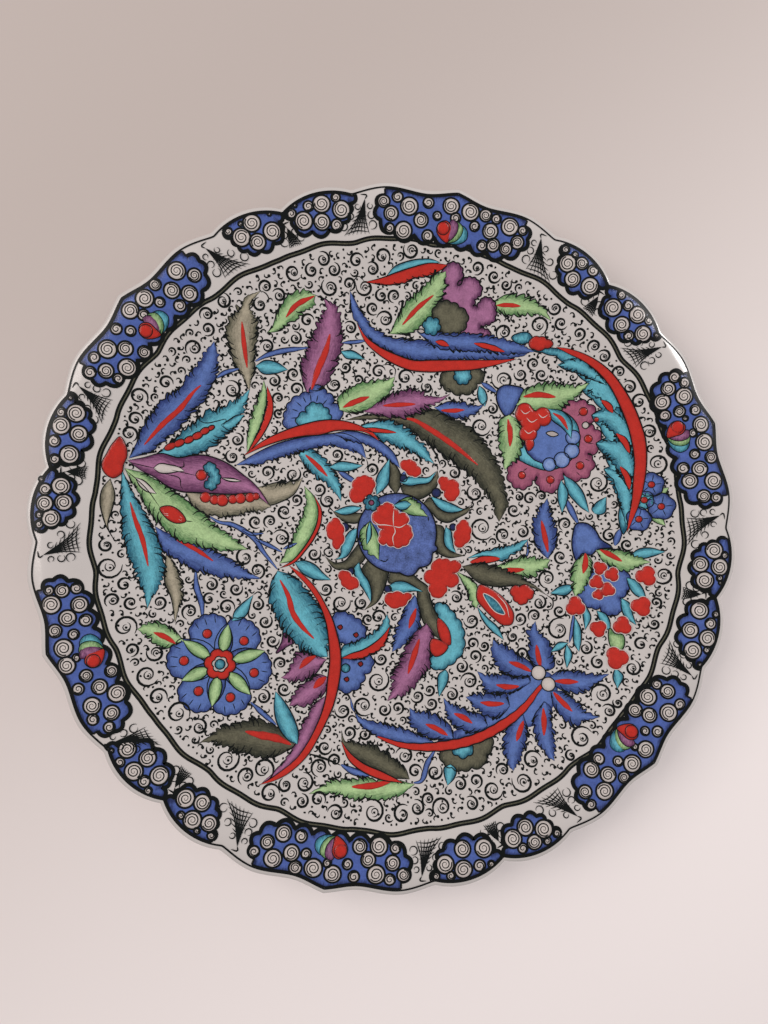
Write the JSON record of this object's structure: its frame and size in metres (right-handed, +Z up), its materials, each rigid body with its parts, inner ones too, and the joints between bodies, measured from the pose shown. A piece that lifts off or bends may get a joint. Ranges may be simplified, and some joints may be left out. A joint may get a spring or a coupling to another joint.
{
  "type": "decorative wall plate",
  "caption": "Round ceramic plate with a pointed, scalloped rim and a shallow curved well, painted all over with raised enamel flowers, leaves and cloud border, on a foot ring.",
  "frame": {"origin": "centre of the foot ring's tread, on the plane that the plate stands on", "axes": "+Z up through the plate's centre, painted face up; +Y towards one of the six points of the rim"},
  "size_m": [0.296, 0.3, 0.0256],
  "materials": {
    "clay": "matte",
    "glaze": "gloss",
    "enamel_cobalt": "gloss",
    "enamel_white": "gloss",
    "enamel_red": "gloss",
    "enamel_purple": "gloss",
    "enamel_green": "gloss",
    "enamel_turquoise": "gloss",
    "enamel_olive": "gloss"
  },
  "bodies": {
    "root": {"bud_green": "enamel_green", "bud_purple": "enamel_purple", "bud_red": "enamel_red", "bud_turquoise": "enamel_turquoise", "clay_body": "clay", "cloud_discs_1": "enamel_white", "cloud_discs_2": "enamel_white", "cloud_discs_3": "enamel_white", "cloud_discs_4": "enamel_white", "cloud_discs_5": "enamel_white", "cloud_discs_6": "enamel_white", "glaze_coat": "glaze", "large_cloud_1": "enamel_cobalt", "large_cloud_2": "enamel_cobalt", "large_cloud_3": "enamel_cobalt", "large_cloud_4": "enamel_cobalt", "large_cloud_5": "enamel_cobalt", "large_cloud_6": "enamel_cobalt", "paired_cloud_1": "enamel_cobalt", "paired_cloud_2": "enamel_cobalt", "paired_cloud_3": "enamel_cobalt", "paired_cloud_4": "enamel_cobalt", "paired_cloud_5": "enamel_cobalt", "paired_cloud_6": "enamel_cobalt", "ring_line": "enamel_olive"}
  },
  "joints": []
}
